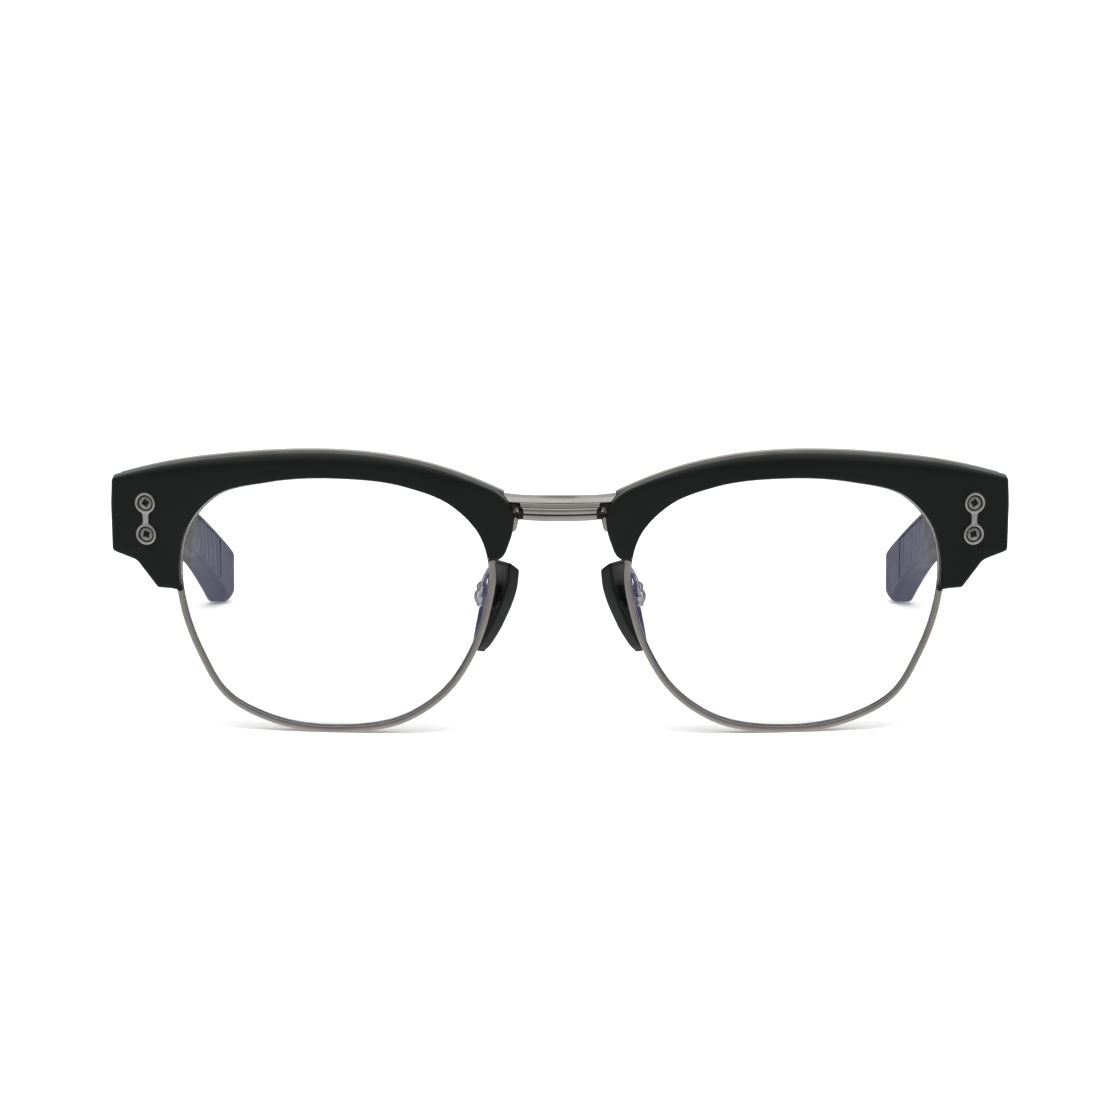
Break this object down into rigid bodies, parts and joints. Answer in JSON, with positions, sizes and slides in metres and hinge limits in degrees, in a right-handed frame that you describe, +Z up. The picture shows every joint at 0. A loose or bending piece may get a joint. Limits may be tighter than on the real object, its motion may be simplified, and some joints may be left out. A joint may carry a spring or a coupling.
{
  "type": "half rim eyeglasses",
  "caption": "Half rim eyeglasses: thick black brows over metal rims, ridged metal bridge, nose pads on arms and hinged folding temples.",
  "frame": {"origin": "bottom centre of the whole object's box, as it stands open on a table on its rims and temple tips", "axes": "+Z up, front faces -Y, temples run towards +Y, wearer's left at +X"},
  "size_m": [0.1482, 0.1428, 0.0465],
  "materials": {
    "brow_acetate": "satin black acetate",
    "temple_acetate": "satin black acetate",
    "tip_inlay": "ribbed satin black",
    "pad": "polished black",
    "lens": "clear, anti-reflection coated",
    "gunmetal": "polished gunmetal plating",
    "polished_metal": "polished gunmetal",
    "hinge_metal": "tumbled",
    "screws": "polished"
  },
  "bodies": {
    "front": {"bridge": "gunmetal", "left_brow": "brow_acetate", "left_rim": "gunmetal", "left_closing_screw": "screws", "left_lens": "lens", "left_chassis_bar": "gunmetal", "left_brow_screws": "screws", "left_rivet_plate": "polished_metal", "left_plate_screws": "screws", "left_hinge_front_leaf": "hinge_metal", "left_hinge_pin": "screws", "left_pad_arm": "polished_metal", "right_brow": "brow_acetate", "right_rim": "gunmetal", "right_closing_screw": "screws", "right_lens": "lens", "right_chassis_bar": "gunmetal", "right_brow_screws": "screws", "right_rivet_plate": "polished_metal", "right_plate_screws": "screws", "right_hinge_front_leaf": "hinge_metal", "right_hinge_pin": "screws", "right_pad_arm": "polished_metal"},
    "left_temple": {"left_temple_arm": "temple_acetate", "left_hinge_temple_leaf": "hinge_metal", "left_leaf_screws": "screws", "left_core_wire": "hinge_metal", "left_side_plate": "gunmetal", "left_side_plate_screws": "polished_metal", "left_tip_inlay": "tip_inlay"},
    "left_nose_pad_body": {"left_pad_mount": "polished_metal", "left_pad_pin": "polished_metal", "left_nose_pad": "pad"},
    "right_temple": {"right_temple_arm": "temple_acetate", "right_hinge_temple_leaf": "hinge_metal", "right_leaf_screws": "screws", "right_core_wire": "hinge_metal", "right_side_plate": "gunmetal", "right_side_plate_screws": "polished_metal", "right_tip_inlay": "tip_inlay"},
    "right_nose_pad_body": {"right_pad_mount": "polished_metal", "right_pad_pin": "polished_metal", "right_nose_pad": "pad"}
  },
  "joints": [
    {"name": "left_temple_fold", "type": "hinge", "parent": "front", "child": "left_temple", "pos_m": [0.0668, -0.05366, 0.0347], "axis": [0, 0, 1], "range_deg": [0, 88]},
    {"name": "left_pad_rock", "type": "hinge", "parent": "front", "child": "left_nose_pad_body", "pos_m": [0.01275, -0.0645, 0.02242], "axis": [0, 0, 1], "range_deg": [-8, 8]},
    {"name": "right_temple_fold", "type": "hinge", "parent": "front", "child": "right_temple", "pos_m": [-0.0668, -0.05366, 0.0347], "axis": [0, 0, -1], "range_deg": [0, 82]},
    {"name": "right_pad_rock", "type": "hinge", "parent": "front", "child": "right_nose_pad_body", "pos_m": [-0.01275, -0.0645, 0.02242], "axis": [0, 0, -1], "range_deg": [-8, 8]}
  ]
}
